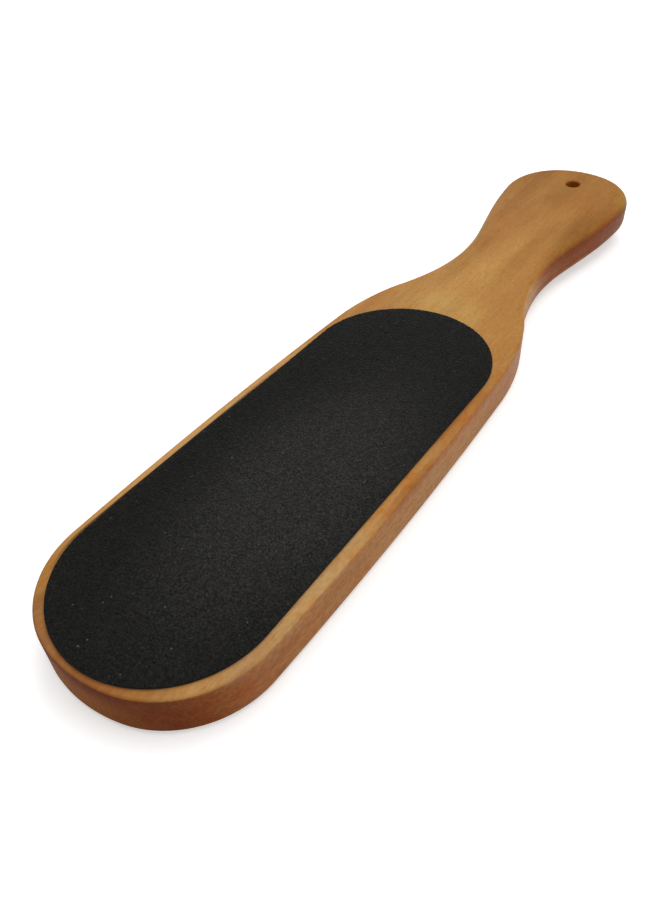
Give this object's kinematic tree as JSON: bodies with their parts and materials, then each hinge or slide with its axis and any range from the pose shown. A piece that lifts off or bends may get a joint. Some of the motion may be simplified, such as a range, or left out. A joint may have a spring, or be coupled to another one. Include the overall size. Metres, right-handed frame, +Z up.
{
  "type": "foot file",
  "caption": "Wooden foot file: flat rounded head with an oval abrasive pad on both faces, narrow waist and a gently rising handle with a hanging hole.",
  "frame": {"origin": "under the middle of the file's bounding box, level with the face of the fine pad that it lies on", "axes": "+X along the length from the head tip to the handle end, +Y to the side, +Z up out of the coarse pad"},
  "size_m": [0.252, 0.0564, 0.0158],
  "materials": {
    "wood": "satin lacquer, straight grain along the length",
    "adhesive": "thin pressure-sensitive film",
    "backing": "resin-bonded sheet",
    "coarse_grit": "coarse black mineral grain in resin",
    "fine_grit": "fine black mineral grain in resin"
  },
  "bodies": {
    "root": {"wooden_paddle": "wood", "coarse_adhesive": "adhesive", "coarse_backing": "backing", "coarse_grit": "coarse_grit", "fine_adhesive": "adhesive", "fine_backing": "backing", "fine_grit": "fine_grit"}
  },
  "joints": []
}
